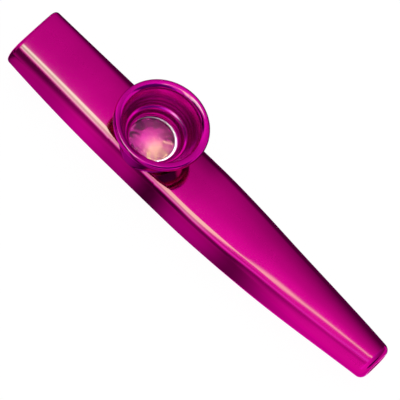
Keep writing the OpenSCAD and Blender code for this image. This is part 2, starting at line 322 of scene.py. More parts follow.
def half_path(x, inset):
    """Half of the top sheet's section at each x, from the seam up to the middle, as y, z and turn."""
    half, radius, slope, reach, upper, lower = (m[:, None] for m in section_measures(x, inset))
    low_turn = np.linspace(seam_turn, math.pi / 2, seam_stations)[None, :]
    side_share = np.linspace(0, 1, side_stations + 1)[None, 1:]
    high_turn = np.concatenate([
        np.linspace(math.pi / 2, hole_turn, outer_corner_stations + 1)[1:],
        blend(hole_turn, 0, np.linspace(0, 1, inner_corner_stations + 1)[1:])])[None, :]
    bend = np.where(high_turn >= hole_turn, high_turn, blend(slope, hole_turn, high_turn / hole_turn))
    across = np.linspace(1, 0, crown_stations + 1)[None, 1:]
    crown_radius = reach / np.sin(slope)
    y = np.concatenate([half - radius + radius * np.sin(low_turn), half + 0 * side_share,
                        half - radius + radius * np.sin(bend),
                        crown_radius * np.sin(slope * across)], axis=1)
    z = np.concatenate([lower + radius * np.cos(low_turn), blend(lower, upper, side_share),
                        upper + radius * np.cos(bend),
                        body_top - inset[:, None] - crown_radius * (1 - np.cos(slope * across))], axis=1)
    turn = np.concatenate([low_turn + 0 * half, math.pi / 2 + 0 * (side_share + half), bend,
                           slope * across], axis=1)
    return y, z, turn


def whole_path(x, inset):
    """The top sheet's whole section: the half path, and its mirror image beyond the middle."""
    y, z, turn = half_path(x, inset)
    return (np.concatenate([-y, y[:, -2::-1]], axis=1), np.concatenate([z, z[:, -2::-1]], axis=1),
            np.concatenate([turn, turn[:, -2::-1]], axis=1))


# %% Pull the square hole out to a circle
hole_station = seam_stations + side_stations + outer_corner_stations - 1
nearest = 0.1


def open_hole(x, inset):
    """The section's points, slid along the sheet near the hole: those on the square's edge move out to the
    circle, and the pull fades to nothing about a quarter of the hole's size further out. No distance from
    the axis counts as less than the nearest, so that nothing is divided by zero."""
    y, z, turn = whole_path(x, inset)
    x = x[:, None] + 0 * y
    line = np.abs(y[:, hole_station])[:, None]
    along = np.abs(x - cup_x) / hole_half
    fade = 1 + fade_share * (turn - hole_turn) / (fade_turn - hole_turn)
    across = np.where(turn <= hole_turn, np.abs(y) / line, fade)
    spread = np.maximum(along, across)
    pull = smooth((1 + fade_share - spread) / fade_share)
    distance = np.maximum(np.hypot(x - cup_x, y), nearest)
    scale = 1 + np.where(spread < 1 + fade_share, pull * (hole_radius / distance - 1), 0)
    near = (scale != 1) & (turn < math.pi / 2)
    new_x, new_y = np.where(near, cup_x + (x - cup_x) * scale, x), np.where(near, y * scale, y)
    new_z = np.where(near, top_height(new_x, new_y, inset[:, None]), z)
    return np.stack([new_x, new_y, new_z], axis=2)


# %% Close a sheet's skin
def band(first, second):
    """Faces between two rows of point numbers."""
    return np.stack([first[:-1], first[1:], second[1:], second[:-1]], axis=1)


def sheet_skin(outside, inside):
    """A closed sheet's points, its faces round and at the ends, and its points' numbers on both sides."""
    rows, stations = outside.shape[:2]
    points = np.concatenate([outside, inside[:, ::-1]], axis=1).reshape(-1, 3)
    number = np.arange(len(points)).reshape(rows, 2 * stations)
    outer, inner = number[:, :stations], number[:, stations:][:, ::-1]
    ends = np.concatenate([band(inner[0], outer[0]), band(outer[-1], inner[-1])])
    return points, grid_faces(rows, 2 * stations, wrap_columns=True), ends, outer, inner


# %% Top sheet
sheet_ease = 0.06


def top_sheet():
    """The top sheet's closed skin: outside, inside, both end lips, both seams and the wall of the hole."""
    outer_x, outer_inset, inner_x, inner_inset = body_places().T
    outside, inside = open_hole(outer_x, outer_inset), open_hole(inner_x, inner_inset)
    points, faces, ends, outer, inner = sheet_skin(outside, inside)
    stations = outside.shape[1]
    start, stop = (int(np.argmin(np.abs(outer_x - cup_x - side))) for side in (-hole_half, hole_half))
    left, right = hole_station, stations - 1 - hole_station
    row, column = np.divmod(faces[:, 0], 2 * stations)
    mirrored = 2 * stations - 1 - column
    missing = ((column >= left) & (column < right)) | ((mirrored > left) & (mirrored <= right))
    kept = faces[~(missing & (row >= start) & (row < stop))]
    tall, wide = stop - start, right - left
    edge_rows = np.concatenate([np.arange(start, stop), np.full(wide, stop), np.arange(stop, start, -1),
                                np.full(wide + 1, start)])
    edge_columns = np.concatenate([np.full(tall, left), np.arange(left, right), np.full(tall, right),
                                   np.arange(right, left - 1, -1)])
    wall = band(outer[edge_rows, edge_columns], inner[edge_rows, edge_columns])
    used, faces = np.unique(np.concatenate([kept, wall, ends]), return_inverse=True)
    return points[used], faces.reshape(-1, 4)


top_piece = make_piece("body_top_sheet", *top_sheet(), "body", "body_metal", ["upper_shell"],
                       bevel=sheet_ease)

# %% [markdown]
# ## The bottom sheet
# The pan below is the same section carried on from the seam, so its two edges meet the
# top sheet's all along. Its corner arcs come from the same measures, with a flat floor
# between them.

# %% Bottom sheet
pan_corner_stations, pan_floor_stations = 9, 19


def pan_section(x, inset):
    """The pan's section at each x: a corner arc, the flat floor and the other corner arc."""
    half, radius, _, _, _, lower = (m[:, None] for m in section_measures(x, inset))
    turns = np.linspace(seam_turn, math.pi, pan_corner_stations)[None, :]
    arc_y, arc_z = half - radius + radius * np.sin(turns), lower + radius * np.cos(turns)
    floor = np.linspace(1, -1, pan_floor_stations)[None, 1:-1]
    y = np.concatenate([arc_y, (half - radius) * floor, -arc_y[:, ::-1]], axis=1)
    z = np.concatenate([arc_z, lower - radius + 0 * floor, arc_z[:, ::-1]], axis=1)
    return np.stack([x[:, None] + 0 * y, y, z], axis=2)


def bottom_sheet():
    """The bottom sheet's closed skin: the pan's section along the body, outside and inside, and its ends."""
    outer_x, outer_inset, inner_x, inner_inset = body_places().T
    skin = sheet_skin(pan_section(outer_x, outer_inset), pan_section(inner_x, inner_inset))
    points, faces, ends = skin[:3]
    return points, np.concatenate([faces, ends])


bottom_piece = make_piece("body_bottom_sheet", *bottom_sheet(), "body", "body_metal", ["lower_shell"],
                          bevel=sheet_ease)

# %% [markdown]
# ## Turned parts
# The cup, the collar and the rings come off a lathe, so each is a profile carried round
# an axis. Blender's Screw modifier could turn a drawn profile, but a lathe part with a
# thread is easier as a formula: the radius at a height and an angle is the profile's
# radius, plus the thread's ridge where the helix passes.

# %% Helpers for turned parts
def smooth_through(points, steps):
    """A curve through all the points: between two of them, a cubic whose slopes follow the neighbours."""
    slopes = np.gradient(points, axis=0)
    slopes[0], slopes[-1] = points[1] - points[0], points[-1] - points[-2]
    start, stride = points[:-1, None], points[1:, None] - points[:-1, None]
    t = np.linspace(0, 1, steps, endpoint=False)[None, :, None]
    bend = (1 - t) * (slopes[:-1, None] - stride) + t * (stride - slopes[1:, None])
    run = start + stride * t + t * (1 - t) * bend
    return np.concatenate([run.reshape(-1, 2), points[-1:]])


def straight(a, b, steps):
    """Points evenly spaced from a, up to but not including b."""
    return blend(np.array(a, float)[None, :], np.array(b, float)[None, :], np.arange(steps)[:, None] / steps)


ridge_reach, ridge_flank, ridge_run_out = 0.24, 0.14, 0.12


def ridge_height(z, angle, foot, start):
    """Height of a thread's ridge: full on the helix, zero away from it, run out to nothing at both ends."""
    along = (angle - start) / (2 * math.pi)
    turns = along + np.round((z - foot) / thread_pitch - along)
    away = np.abs(z - foot - thread_pitch * turns) / thread_pitch
    flank = smooth((ridge_reach - away) / ridge_flank)
    run_out = np.clip(np.minimum(turns, thread_turns - turns) / ridge_run_out, 0, 1)
    return thread_depth * flank * run_out


lathe_columns = 288
wall_tolerance = 0.001


def turn_profile(profile, columns, centre_x=None, radius_extra=None, lift=None):
    """Carries a closed profile of [radius, height] round an upright axis, with extra radius and lift."""
    angle = np.arange(columns) * 2 * math.pi / columns
    radius, z = profile[:, 0][:, None] + 0 * angle, profile[:, 1][:, None] + 0 * angle
    if radius_extra is not None:
        radius = radius + radius_extra(profile, angle[None, :])
    centre = cup_x if centre_x is None else centre_x
    x, y = centre + radius * np.cos(angle), radius * np.sin(angle)
    if lift is not None:
        z = lift(profile, x, y, z)
    points = np.stack([x, y, z], axis=2).reshape(-1, 3)
    return points, grid_faces(len(profile), columns, wrap_rows=True, wrap_columns=True)


# %% [markdown]
# ## The cup
# The cup is a flared bowl with a rolled bead for a rim and a rounded step inside, and the
# thread on its foot screws into the collar. The two walls are drawn as a few shares of
# the way up and of the way out, which a smooth curve joins.

# %% Cup
outside_shares = np.array([[0, 0], [0.11, 0.07], [0.29, 0.23], [0.49, 0.43], [0.68, 0.64], [0.80, 0.765]])
inside_shares = np.array([
    [0, 0], [0.03, 0.055], [0.07, 0.095], [0.115, 0.13], [0.16, 0.165], [0.20, 0.205], [0.23, 0.25],
    [0.25, 0.305], [0.267, 0.36], [0.295, 0.41], [0.335, 0.445], [0.40, 0.50], [0.46, 0.555], [0.52, 0.60],
    [0.60, 0.67], [0.70, 0.745], [0.80, 0.825], [0.88, 0.895], [0.95, 0.96]])
bead_turns = np.radians(np.linspace(-118, 184, 72))
bead_outer_reach = 0.62
thread_foot = collar_top - (thread_turns + ridge_reach) * thread_pitch
foot_ease = 0.15
thread_rows, outside_steps, inside_steps = 64, 6, 5


def cup_profile():
    """Foot, threaded wall, shoulder, flared outside, bead, and back down the stepped inside to the hole."""
    ease_radius, ease_z = cup_root - foot_ease, cup_foot + foot_ease
    foot = straight([cup_hole, cup_foot], [ease_radius, cup_foot], 4)
    ease = straight([ease_radius, cup_foot], [cup_root, ease_z], 3)
    wall = straight([cup_root, ease_z], [cup_root, shoulder_z], thread_rows)
    shoulder = straight([cup_root, shoulder_z], [shoulder_radius, shoulder_z], 5)
    outside = smooth_through(np.stack([blend(shoulder_radius, bead_centre, outside_shares[:, 1]),
                                       blend(shoulder_z, bead_z, outside_shares[:, 0])], axis=1),
                             outside_steps)
    reach = np.where(np.cos(bead_turns) > 0, bead_outer_reach, 2 * bead_radius - bead_outer_reach)
    bead = np.stack([rim_radius - bead_outer_reach + reach * np.cos(bead_turns),
                     bead_z + bead_radius * np.sin(bead_turns)], axis=1)
    inside = smooth_through(np.stack([blend(cup_hole, throat_radius, inside_shares[:, 1]),
                                      blend(floor_top, bead_z, inside_shares[:, 0])], axis=1)[::-1],
                            inside_steps)
    hole = straight([cup_hole, floor_top], [cup_hole, cup_foot], 5)[1:]
    return np.concatenate([foot, ease, wall, shoulder, outside, bead, inside, hole])


def cup_thread(profile, angle):
    """The thread stands out of the straight wall only."""
    on_wall = (np.abs(profile[:, 0] - cup_root) < wall_tolerance)[:, None]
    return np.where(on_wall, ridge_height(profile[:, 1][:, None], angle, thread_foot, 0.0), 0)


cup_piece = make_piece("cup_bowl", *turn_profile(cup_profile(), lathe_columns, radius_extra=cup_thread),
                       "cup", "turned_metal", ["cup"], bevel=0.05)

# %% [markdown]
# ## The collar
# The collar is brazed on the body. Its foot follows the body's crowned top like a saddle,
# with a small fillet of braze round it, so the height of those rows is read from the
# body's own surface under each point.

# %% Collar
fillet = 0.35
saddle_sink = 0.04
collar_ease, collar_side = 0.1, 0.6


def collar_profile():
    """Closed profile with a third column: how much of the height comes from the body's surface."""
    turns = np.linspace(0, math.pi / 2, 7)
    braze = np.stack([collar_outer + fillet * (1 - np.sin(turns)),
                      fillet * (1 - np.cos(turns)) - saddle_sink / 2], axis=1)
    eased_top = collar_top - collar_ease
    pieces = [
        (straight([window_radius, ledge_foot], [tube_outer, ledge_foot], 4), 0),
        ([[tube_outer, ledge_foot]], 0),
        ([[tube_outer, -saddle_sink], [collar_outer, -saddle_sink]], 1),
        (braze, 1),
        ([[collar_outer, collar_top - collar_side], [collar_outer, eased_top]], 0),
        ([[collar_outer - collar_ease, collar_top], [collar_root + collar_ease, collar_top]], 0),
        (straight([collar_root, eased_top], [collar_root, step_top], thread_rows), 0),
        (straight([collar_root, step_top], [pocket_radius, step_top], 3), 0),
        (straight([pocket_radius, step_top], [pocket_radius, ledge_top], 5), 0),
        (straight([pocket_radius, ledge_top], [window_radius, ledge_top], 4), 0),
        (straight([window_radius, ledge_top], [window_radius, ledge_foot], 3), 0)]
    return np.concatenate([np.column_stack([p, np.full(len(p), follows)]) for p, follows in pieces])


def collar_thread(profile, angle):
    """The thread stands inwards from the collar's straight inner wall, half a turn away from the cup's."""
    on_wall = ((np.abs(profile[:, 0] - collar_root) < wall_tolerance) & (profile[:, 2] == 0))[:, None]
    return np.where(on_wall, -ridge_height(profile[:, 1][:, None], angle, thread_foot, math.pi), 0)


def saddle_lift(profile, x, y, z):
    """Rows that follow the body stand on its surface; the others keep their own height."""
    follows = profile[:, 2][:, None]
    return np.where(follows > 0, top_height(x, y) + z, z)


collar_piece = make_piece("turret_collar_turned",
                          *turn_profile(collar_profile(), lathe_columns, radius_extra=collar_thread,
                                        lift=saddle_lift),
                          "body", "turned_metal", ["turret_collar"], bevel=0.04)

# %% [markdown]
# ## Rings and film
# Under the cup lie a soft gasket, the film, the film's white hoop and a flanged ring that
# presses them together. The rings are closed profiles again. The film is a thin disc that
# sags a little and is puckered at its edge, as a hand-stretched film is.

# %% Gasket, hoop and press ring
ring_columns, hoop_columns = 192, 224
gasket_play, flange_play = 0.05, 0.1
sleeve_wall, sleeve_rise = 0.3, 0.4
hoop_side = 0.35


def around(corners, steps):
    """A closed profile through the corners, with extra points on each side, so that edges can be eased."""
    return np.concatenate([straight(a, b, steps) for a, b in zip(corners, corners[1:] + corners[:1])])


def gasket_profile():
    """A flat washer that fills the ledge but for a little play in the pocket."""
    inner, outer = window_radius, pocket_radius - gasket_play
    return around([[inner, ledge_top], [outer, ledge_top], [outer, gasket_top], [inner, gasket_top]], 6)


def hoop_profile():
    """A moulded ring: flat underneath, with a gently rounded top."""
    middle, reach = (hoop_inner + hoop_outer) / 2, (hoop_outer - hoop_inner) / 2
    low, high = film_top, hoop_top
    turn = np.linspace(0, math.pi, 17)
    top = np.stack([middle + reach * np.sign(np.cos(turn)) * np.abs(np.cos(turn)) ** 0.5,
                    low + (high - low) * (hoop_side + (1 - hoop_side) * np.sqrt(np.sin(turn)))], axis=1)
    return np.concatenate([straight([hoop_inner, low], [hoop_outer, low], 6), [[hoop_outer, low]], top])


def press_profile():
    """A flange that lies on the hoop, and a thin sleeve that rises inside the cup's hole."""
    sleeve_outer, sleeve_top = window_radius + sleeve_wall, press_top + sleeve_rise
    flange = pocket_radius - flange_play
    return around([[window_radius, hoop_top], [flange, hoop_top], [flange, press_top],
                   [sleeve_outer, press_top], [sleeve_outer, sleeve_top], [window_radius, sleeve_top]], 5)


gasket_piece = make_piece("seat_gasket_ring", *turn_profile(gasket_profile(), ring_columns), "body",
                          "gasket_fibre", ["seat_gasket"], bevel=0.05)
hoop_piece = make_piece("film_hoop", *turn_profile(hoop_profile(), hoop_columns,
                                                   centre_x=cup_x - hoop_offset),
                        "body", "hoop_plastic", ["membrane_hoop"])
press_piece = make_piece("press_ring_turned", *turn_profile(press_profile(), hoop_columns), "press_ring",
                         "turned_metal", ["press_ring"], bevel=0.05)

# %% Film
film_sag = 0.10
film_share, film_play, film_clear = 0.45, 0.05, 0.001
pucker_height, pucker_start, pucker_span, pucker_end = 0.035, 2.2, 2.6, 0.8
deep_side, deep_reach = math.radians(172), 0.5
film_count = 97


def film_sheet():
    """A thin disc of squares: a square grid pressed into a circle, above and below, joined at the edge. It
    sags by a square law, and two waves round it make puckers, which are deepest on one side."""
    side = np.linspace(-1, 1, film_count)
    a, b = np.meshgrid(side, side, indexing="ij")
    x, y = a * np.sqrt(1 - b * b / 2), b * np.sqrt(1 - a * a / 2)
    radius = np.hypot(x, y) * hoop_outer
    angle = np.arctan2(y, x)
    free = np.clip(1 - (radius / hoop_inner) ** 2, 0, None)
    edge = smooth((radius - pucker_start) / pucker_span) * smooth((hoop_inner - radius) / pucker_end)
    folds = np.sin(9 * angle + 0.6 * np.sin(3 * angle)) + 0.6 * np.sin(17 * angle + 1.3)
    off_deep = np.mod(angle - deep_side + math.pi, 2 * math.pi) - math.pi
    deep = np.exp(-(off_deep / deep_reach) ** 2)
    dip = -film_sag * free + pucker_height * edge * folds * (0.35 + deep)
    thin, width = (film_top - gasket_top) * film_share, hoop_outer - film_play
    level = film_top - thin / 2 - film_clear + dip
    centre = cup_x - hoop_offset
    layers = [np.stack([centre + x * width, y * width, level + side_z], axis=2).reshape(-1, 3)
              for side_z in (thin / 2, -thin / 2)]
    top = grid_faces(film_count, film_count)
    number = np.arange(film_count ** 2).reshape(film_count, film_count)
    rim = np.concatenate([number[:-1, 0], number[-1, :-1], number[:0:-1, -1], number[0, :0:-1], [0]])
    below = film_count ** 2
    return np.concatenate(layers), np.concatenate([top, top[:, ::-1] + below, band(rim + below, rim)])


film_piece = make_piece("film_disc", *film_sheet(), "body", "clear_film", ["membrane_film"], sharp=60)

# %% [markdown]
# ## Node helpers
# Materials are small node trees. A few helpers keep them short: one adds a node and sets
# or joins its sockets, and the others stand for nodes that come up again and again.

# %% Node helpers
def new_material(name):
    """An empty node material, and its tree."""
    material = bpy.data.materials.new(name)
    material.use_nodes = True
    material.node_tree.nodes.clear()
    return material, material.node_tree


def add(tree, kind, values=None, **settings):
    """Adds a node, sets its properties, then sets or joins its sockets by name or number."""
    node = tree.nodes.new(kind)
    for key, value in settings.items():
        setattr(node, key, value)
    for key, value in (values or {}).items():
        if isinstance(value, bpy.types.NodeSocket):
            tree.links.new(value, node.inputs[key])
        else:
            node.inputs[key].default_value = value
    return node


def to_output(tree, shader, kind="ShaderNodeOutputMaterial"):
    """Joins a shader to a new output node."""
    add(tree, kind, {"Surface": shader.outputs[0]})


def math_node(tree, operation, a, b=0.0, clamp=False):
    """One sum, product or other operation on two numbers or sockets."""
    return add(tree, "ShaderNodeMath", {0: a, 1: b}, operation=operation, use_clamp=clamp).outputs[0]


def vector_node(tree, operation, a, b=(0, 0, 0), result=0):
    """One operation on two vectors or sockets."""
    return add(tree, "ShaderNodeVectorMath", {0: a, 1: b}, operation=operation).outputs[result]


def mapped(tree, value, before, after):
    """Turns one span of numbers into another. Each span is a pair."""
    values = {"Value": value, "From Min": before[0], "From Max": before[1], "To Min": after[0],
              "To Max": after[1]}
    return add(tree, "ShaderNodeMapRange", values).outputs[0]


def noise(tree, place, scale, detail=2.0):
    """Smooth random values, with about so many lumps to a metre."""
    values = {"Vector": place, "Scale": scale, "Detail": detail}
    return add(tree, "ShaderNodeTexNoise", values).outputs["Fac"]


def bump(tree, height, strength, distance, under=None):
    """Tilts the surface by a height in metres, on top of another tilt if one is given."""
    values = {"Height": height, "Strength": strength, "Distance": distance}
    if under is not None:
        values["Normal"] = under
    return add(tree, "ShaderNodeBump", values).outputs["Normal"]


def mix_colours(tree, share, first, second):
    """A colour between two, by a share."""
    first, second = (c if isinstance(c, bpy.types.NodeSocket) else (*c, 1) for c in (first, second))
    values = {"Factor": share, "A": first, "B": second}
    return add(tree, "ShaderNodeMix", values, data_type="RGBA").outputs["Result"]


def ramp(tree, factor, first, last):
    """A colour ramp between two stops, each a place and a colour."""
    node = add(tree, "ShaderNodeValToRGB", {0: factor})
    for element, (place, colour) in zip(node.color_ramp.elements, (first, last)):
        element.position, element.color = place, (*colour, 1)
    return node.outputs["Color"]


# %% [markdown]
# ## Anodised metal
# Anodising grows a clear layer on aluminium and dyes it, so the metal underneath shines
# through the colour. It is still a metal, so the shader is fully metallic: its colour is
# the colour of what it reflects. Noise at three sizes gives the blotches of the dye, the
# haze of handling and the fine grain, and scattered cells give a few specks of dust. The
# turned parts keep the rings of the turning tool. Two attributes on the mesh mark painted
# light and shade on them: a lighter, bluer colour inside the bowl stands in for bounce light,
# and a darker colour on the cup's foot and the collar is painted shade under the bowl.

# %% Mark the bowl's painted light and the foot's painted shade
def mark(piece, name, values):
    """Writes one number for each point of a piece as an attribute."""
    marks = piece.data.attributes.new(name, "FLOAT", "POINT")
    marks.data.foreach_set("value", np.asarray(values, dtype=np.float32))


rows_before_bowl, rows_of_fade = 8, 16
foot_below_bead, foot_fade = 6.0, 4.0
profile = cup_profile()
row = np.arange(len(profile))
first_inside = int(np.argmax(profile[:, 1]))
bowl_share = smooth((row - first_inside - rows_before_bowl) / rows_of_fade)
foot_share = 1 - smooth((profile[:, 1] - bead_z + foot_below_bead) / foot_fade)
# The bowl mark carries painted bounce light and extra haze inside the bowl; the foot mark carries painted
# shade on the cup's foot under the bowl, and on the whole collar.
mark(cup_piece, "bowl", np.repeat(bowl_share, lathe_columns))
mark(cup_piece, "foot", np.repeat(np.where(row < first_inside, foot_share, 0), lathe_columns))
mark(collar_piece, "foot", np.ones(len(collar_piece.data.vertices)))
print("rows of the cup inside the rim:", int((bowl_share > 0.5).sum()), "of", len(profile))

# %% Anodised metal
sheet_dye = (0.56, 0.0016, 0.225)
turned_dye = (0.56, 0.002, 0.29)
# Painted light and shade: a lighter, bluer colour inside the bowl stands in for bounce light, and a darker
# one on the foot and collar stands in for the shade under the bowl.
bowl_painted_light = (0.76, 0.003, 0.47)
foot_painted_shade = (0.38, 0.002, 0.22)
edge_tint = (0.95, 0.25, 0.85, 1)
dust_colour = (0.62, 0.20, 0.42)
blotch_scale, haze_scale, grain_scale, dust_scale = 70.0, 240.0, 2600.0, 230.0
dust_rarity, dust_reach, dust_cover = 0.86, 0.035, 0.6
noise_span, blotch_span, rough_span = (0.3, 0.7), (0.93, 1.05), (0.07, 0.10)
grain_bump, ring_bump = (0.03, 0.02 * MM), (0.12, 0.003 * MM)
bowl_haze = 0.12
lathe_ring = 0.7 * MM


def anodised(name, dye, turned=False):
    """Dyed metal: its colour has blotches and specks, its gloss haze, its bump grain and lathe rings. On
    turned parts, painted bounce light lightens the bowl and painted shade darkens the foot.
    """
    material, tree = new_material(name)
    place = add(tree, "ShaderNodeTexCoord").outputs["Object"]
    colour = dye
    rough = mapped(tree, noise(tree, place, haze_scale, 4.0), noise_span, rough_span)
    normal = bump(tree, noise(tree, place, grain_scale, 3.0), *grain_bump)
    if turned:
        # The bowl and foot attributes bring in painted light and shade: a lighter, bluer colour inside the
        # bowl and a darker one on the foot and collar.
        bowl, foot = (add(tree, "ShaderNodeAttribute", attribute_name=mark_name).outputs["Fac"]
                      for mark_name in ("bowl", "foot"))
        colour = mix_colours(tree, foot, mix_colours(tree, bowl, dye, bowl_painted_light), foot_painted_shade)
        rough = math_node(tree, "ADD", rough, math_node(tree, "MULTIPLY", bowl, bowl_haze))
        centred = vector_node(tree, "ADD", place, (-cup_x * MM, 0, 0))
        flat = vector_node(tree, "MULTIPLY", centred, (1, 1, 0))
        distance = vector_node(tree, "LENGTH", flat, result="Value")
        wave = math_node(tree, "SINE", math_node(tree, "MULTIPLY", distance, 2 * math.pi / lathe_ring))
        normal = bump(tree, wave, *ring_bump, under=normal)
    shade = mapped(tree, noise(tree, place, blotch_scale, 3.0), noise_span, blotch_span)
    shaded = vector_node(tree, "MULTIPLY", colour, shade)
    cells = add(tree, "ShaderNodeTexVoronoi", {"Vector": place, "Scale": dust_scale}).outputs
    chance = add(tree, "ShaderNodeSeparateColor", {0: cells["Color"]}).outputs[0]
    rare = math_node(tree, "GREATER_THAN", chance, dust_rarity)
    near = math_node(tree, "LESS_THAN", cells["Distance"], dust_reach)
    dust = math_node(tree, "MULTIPLY", math_node(tree, "MULTIPLY", rare, near), dust_cover)
    to_output(tree, add(tree, "ShaderNodeBsdfPrincipled", {
        "Base Color": mix_colours(tree, dust, shaded, dust_colour), "Metallic": 1.0, "Roughness": rough,
        "Normal": normal, "Specular Tint": edge_tint}))
    print(name, len(tree.nodes), "nodes")
    return material


body_pieces = [top_piece, bottom_piece]
cup_pieces = [cup_piece, collar_piece]
body_metal = anodised("anodised_sheet", sheet_dye)
turned_metal = anodised("anodised_turned", turned_dye, turned=True)
for piece in body_pieces:
    piece.data.materials.append(body_metal)
for piece in [*cup_pieces, press_piece]:
    piece.data.materials.append(turned_metal)

# %% [markdown]
# ## Film, hoop and gasket
# The film is clear, with a gloss on top. A glass shader would bend light on its way
# through, which so thin a film doesn't do, so the film is a glossy surface that lets most
# light straight past. The hoop is milky plastic, and the gasket is dark fibre.

# %% Film, hoop and gasket materials
smear_scale, cloud_scale, speck_scale = 420.0, 700.0, 5200.0


def clear_film():
    """Mostly see-through, with a rosy haze, a strong gloss and a roughness that drifts across it."""
    material, tree = new_material("clear_film")
    smear = noise(tree, add(tree, "ShaderNodeTexCoord").outputs["Object"], smear_scale)
    to_output(tree, add(tree, "ShaderNodeBsdfPrincipled", {
        "Base Color": ramp(tree, smear, (0.3, (0.20, 0.012, 0.12)), (0.7, (0.26, 0.02, 0.15))),
        "Roughness": mapped(tree, smear, (0.0, 1.0), (0.10, 0.17)), "IOR": 1.5, "Alpha": 0.35}))
    return material


def milky_plastic():
    """White plastic with faint clouding and a soft gloss."""
    material, tree = new_material("milky_plastic")
    cloud = noise(tree, add(tree, "ShaderNodeTexCoord").outputs["Object"], cloud_scale)
    tone = ramp(tree, cloud, (0.3, (0.84, 0.78, 0.86)), (0.7, (0.95, 0.92, 0.96)))
    to_output(tree, add(tree, "ShaderNodeBsdfPrincipled", {"Base Color": tone, "Roughness": 0.3}))
    return material


def fibre():
    """Dark pressed fibre with a mottled, rough face."""
    material, tree = new_material("gasket_fibre")
    speck = noise(tree, add(tree, "ShaderNodeTexCoord").outputs["Object"], speck_scale, 4.0)
    tone = ramp(tree, speck, (0.35, (0.03, 0.028, 0.03)), (0.7, (0.10, 0.09, 0.10)))
    to_output(tree, add(tree, "ShaderNodeBsdfPrincipled", {
        "Base Color": tone, "Roughness": 0.85, "Normal": bump(tree, speck, 0.4, 0.03 * MM)}))
    return material


for piece, material in ((film_piece, clear_film()), (hoop_piece, milky_plastic()), (gasket_piece, fibre())):
    piece.data.materials.append(material)
    print(piece.name, "is", material.name)

# %% [markdown]
# ## Camera
# The photograph was taken from far away with a long lens, from about 62 degrees above the
# table and with the camera rolled. The directions below were fitted to the outline.

# %% Camera
picture_right = Vector((0.7176, 0.6502, 0.2498)).normalized()
picture_up = Vector((-0.6881, 0.6064, 0.3985))
towards_camera = picture_right.cross(picture_up).normalized()
picture_up = towards_camera.cross(picture_right).normalized()
camera_distance = 1511.0
pixels_per_mm = 3.9975
picture_pixels = 400
centre_pixel = (201.46, 201.71)
middle_height = 6.0
aim = (Vector((0, 0, middle_height))
       - picture_right * ((centre_pixel[0] - picture_pixels / 2) / pixels_per_mm)
       + picture_up * ((centre_pixel[1] - picture_pixels / 2) / pixels_per_mm))
lens_data = bpy.data.cameras.new("camera")
lens_data.sensor_width = 36.0
lens_data.lens = lens_data.sensor_width * pixels_per_mm * camera_distance / picture_pixels
lens_data.clip_start, lens_data.clip_end = 0.05, 50.0
camera = bpy.data.objects.new("camera", lens_data)
bpy.context.scene.collection.objects.link(camera)
facing = Matrix((picture_right, picture_up, towards_camera)).transposed()
camera.matrix_world = Matrix.Translation((aim + towards_camera * camera_distance) * MM) @ facing.to_4x4()
bpy.context.scene.camera = camera
print("lens", round(lens_data.lens, 1), "mm, at", [round(c, 3) for c in camera.matrix_world.translation])

# %% [markdown]
# ## Studio
# A polished metal shows what is around it, so its surroundings are part of its finish.
# The kazoo lies on white paper under a half round of white cloth, bright overhead and
# darker towards the horizon. Two bright strips below the cloth draw the long glints, and
# cards on the paper shade the sides. The cloth, the strips and the cards are sheets that
# only reflections show, each with a glow worked out at its own points, so matt surfaces
# still see plain, even light.

# %% Floor
floor_reach = 3.0
paper_grey = (0.80, 0.80, 0.80, 1)
paper_glow, glow_share = 1.03, 0.94


def studio_floor():
    """A large pale plane under the body. Camera and reflections see white paper that keeps a soft shadow."""
    mesh = bpy.data.meshes.new("studio_floor")
    corners = [(x * floor_reach, y * floor_reach, 0) for x, y in ((-1, -1), (1, -1), (1, 1), (-1, 1))]
    mesh.from_pydata(corners, [], [(0, 1, 2, 3)])
    floor = bpy.data.objects.new("studio_floor", mesh)
    bpy.context.scene.collection.objects.link(floor)
    material, tree = new_material("floor_paper")
    paper = add(tree, "ShaderNodeBsdfDiffuse", {"Color": paper_grey}).outputs[0]
    white = add(tree, "ShaderNodeEmission", {"Color": (1, 1, 1, 1), "Strength": paper_glow}).outputs[0]
    path = add(tree, "ShaderNodeLightPath").outputs
    seen = math_node(tree, "ADD", path["Is Camera Ray"], path["Is Glossy Ray"], clamp=True)
    seen = math_node(tree, "ADD", seen, path["Is Transmission Ray"], clamp=True)
    share = math_node(tree, "MULTIPLY", seen, glow_share)
    to_output(tree, add(tree, "ShaderNodeMixShader", {0: share, 1: paper, 2: white}))
    mesh.materials.append(material)
    print("floor", 2 * floor_reach, "m wide")


studio_floor()

# %% World
white_light, matt_light = (1, 1, 1), (0.85, 0.85, 0.85)
dark_beyond, pale_beyond = (0.09, 0.03, 0.17), (0.90, 0.90, 0.90)


def studio_world():
    """Plain light for matt surfaces and white for the camera. Reflections that pass the cloth find it dark,
    but light beyond the mouth end."""
    world = bpy.data.worlds.new("studio_world")
    bpy.context.scene.world = world
    world.use_nodes = True
    tree = world.node_tree
    tree.nodes.clear()
    path = add(tree, "ShaderNodeLightPath").outputs
    direction = add(tree, "ShaderNodeTexCoord").outputs["Generated"]
    towards = add(tree, "ShaderNodeSeparateXYZ", {0: direction}).outputs
    past_mouth = mapped(tree, towards["X"], (-0.95, -0.75), (1.0, 0.0))
    behind = mapped(tree, towards["Y"], (-0.30, -0.05), (0.0, 1.0))
    past_cloth = mix_colours(tree, math_node(tree, "MULTIPLY", past_mouth, behind), dark_beyond, pale_beyond)
    level = mix_colours(tree, path["Is Glossy Ray"], matt_light, past_cloth)
    seen = mix_colours(tree, path["Is Camera Ray"], level, white_light)
    to_output(tree, add(tree, "ShaderNodeBackground", {"Color": seen, "Strength": 1.0}),
              "ShaderNodeOutputWorld")
    print("world", len(tree.nodes), "nodes")


studio_world()

# %% Sheets that glow
tunnel_radius = 300.0


